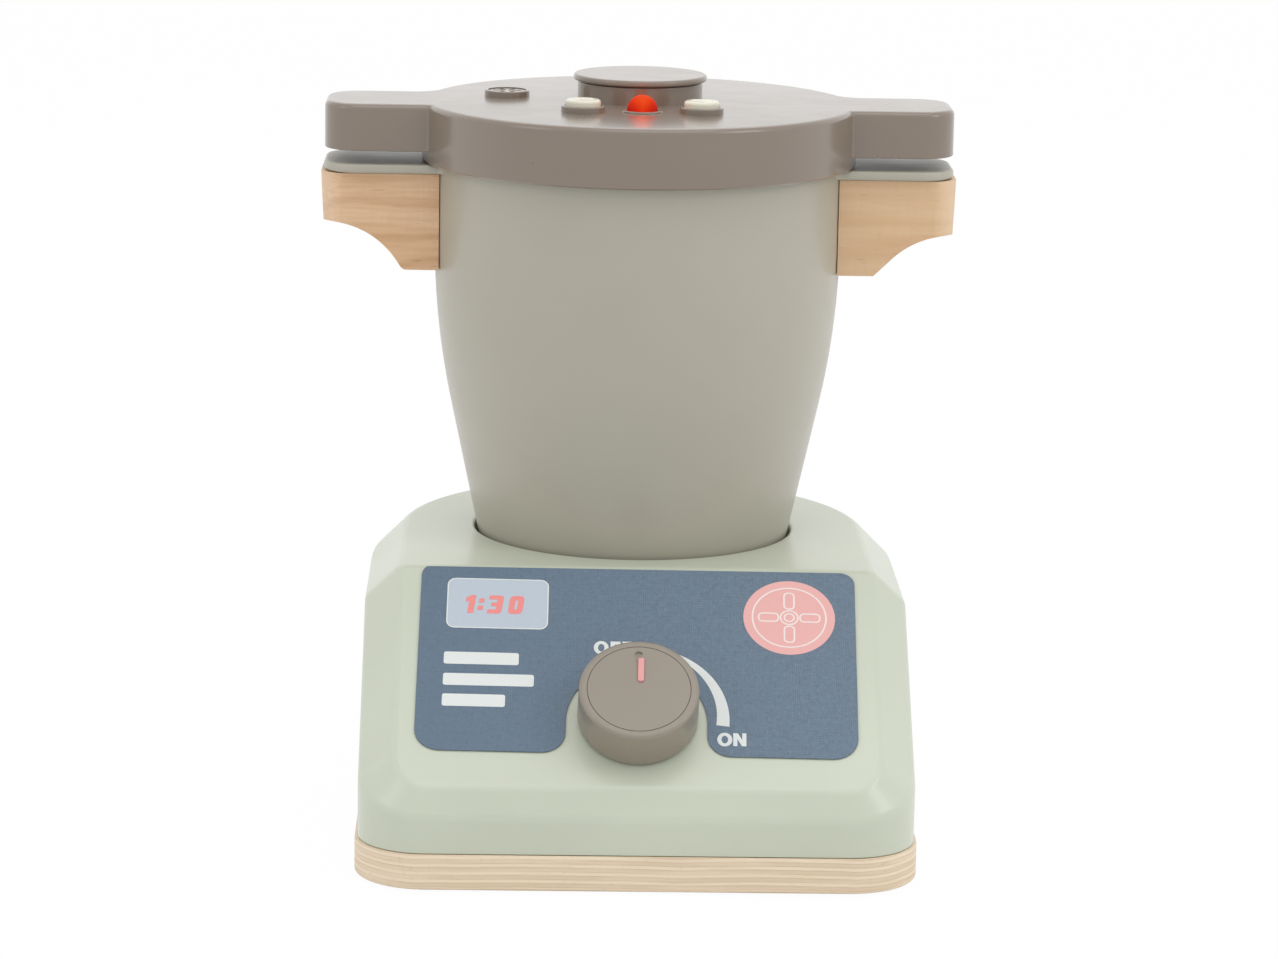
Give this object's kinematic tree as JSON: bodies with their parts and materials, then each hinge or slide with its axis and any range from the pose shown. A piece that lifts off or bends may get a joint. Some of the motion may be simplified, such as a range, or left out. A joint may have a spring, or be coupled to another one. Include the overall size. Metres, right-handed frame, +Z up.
{
  "type": "toy blender",
  "caption": "Toy kitchen blender: wooden base plate, sloping control panel with a knob, lift-out pot with wooden grips, and a lid with buttons, a light and a measuring cap.",
  "frame": {"origin": "middle of the base plate, on the surface that the foot pads stand on", "axes": "+Z up, -Y towards the control panel at the front, +X to the right of someone who looks at the panel"},
  "size_m": [0.2208, 0.2386, 0.2534],
  "materials": {
    "plywood": "birch plywood, clear matt lacquer, nine plies at the edge",
    "beech": "solid beech, clear matt lacquer, grain along the grip",
    "mint_plastic": "satin mint green moulded plastic",
    "pot_plastic": "satin grey-beige moulded plastic",
    "taupe_plastic": "satin taupe moulded plastic",
    "white_plastic": "glossy off-white moulded plastic",
    "pink_plastic": "satin pink moulded plastic",
    "printed_film": "slate blue printed film with a fine woven look, pale marks and a pink disc",
    "red_lens": "clear red lens, lit from below",
    "dark_plastic": "dark grey engineering plastic",
    "rubber": "grey anti-slip rubber",
    "steel": "zinc-plated steel",
    "cell_sleeve": "plain blue cell sleeve",
    "board_laminate": "green solder mask on laminate",
    "red_wire": "red wire insulation",
    "black_wire": "black wire insulation"
  },
  "bodies": {
    "base": {"base_plate": "plywood", "foot_pad_1": "rubber", "foot_pad_2": "rubber", "foot_pad_3": "rubber", "foot_pad_4": "rubber", "base_screw_1": "steel", "base_screw_2": "steel", "base_screw_3": "steel", "base_screw_4": "steel", "base_housing": "mint_plastic", "base_well": "mint_plastic", "control_label": "printed_film", "knob_bush": "dark_plastic", "detent_spring": "steel", "detent_spring_screw": "steel"},
    "knob": {"knob_body": "taupe_plastic", "knob_face": "taupe_plastic", "knob_pointer": "pink_plastic", "knob_spindle": "steel", "detent_wheel": "white_plastic", "spindle_clip": "steel"},
    "pot": {"pot_shell": "pot_plastic", "left_grip": "beech", "right_grip": "beech", "grip_screw_1": "steel", "grip_screw_2": "steel", "grip_screw_3": "steel", "grip_screw_4": "steel", "blade_axle": "steel"},
    "blade": {"mixing_blade": "taupe_plastic"},
    "lid": {"lid_shell": "taupe_plastic", "lid_base": "taupe_plastic", "lid_screw_1": "steel", "lid_screw_2": "steel", "lid_screw_3": "steel", "lid_screw_4": "steel", "battery_door": "taupe_plastic", "battery_door_screw": "steel", "battery_1": "cell_sleeve", "battery_2": "cell_sleeve", "battery_contact_1": "steel", "battery_contact_2": "steel", "battery_contact_3": "steel", "circuit_board": "board_laminate", "board_screw_1": "steel", "board_screw_2": "steel", "left_switch": "dark_plastic", "right_switch": "dark_plastic", "led_lens": "red_lens", "led_body": "red_lens", "speaker": "dark_plastic", "speaker_grille": "taupe_plastic", "battery_lead_1": "black_wire", "battery_lead_2": "red_wire", "speaker_lead_1": "black_wire", "speaker_lead_2": "red_wire"},
    "left_button": {"left_button": "white_plastic"},
    "right_button": {"right_button": "white_plastic"},
    "cap": {"measuring_cap": "taupe_plastic"}
  },
  "joints": [
    {"name": "knob_turn", "type": "hinge", "parent": "base", "child": "knob", "pos_m": [0, -0.09132, 0.05311], "axis": [0, -0.6334, 0.7739], "range_deg": [-105, 0]},
    {"name": "pot_lift", "type": "slide", "parent": "base", "child": "pot", "axis": [0, 0, 1], "range_m": [0, 0.08]},
    {"name": "blade_spin", "type": "hinge", "parent": "pot", "child": "blade", "pos_m": [0, 0.02575, 0.08], "axis": [0, 0, 1], "continuous": true},
    {"name": "lid_lift", "type": "slide", "parent": "pot", "child": "lid", "axis": [0, 0, 1], "range_m": [0, 0.06]},
    {"name": "left_button_press", "type": "slide", "parent": "lid", "child": "left_button", "axis": [0, 0, -1], "range_m": [0, 0.0012], "stiffness_N_per_m": 400, "springref_m": -0.0003},
    {"name": "right_button_press", "type": "slide", "parent": "lid", "child": "right_button", "axis": [0, 0, -1], "range_m": [0, 0.0012], "stiffness_N_per_m": 400, "springref_m": -0.0003},
    {"name": "cap_lift", "type": "slide", "parent": "lid", "child": "cap", "axis": [0, 0, 1], "range_m": [0, 0.04]}
  ]
}
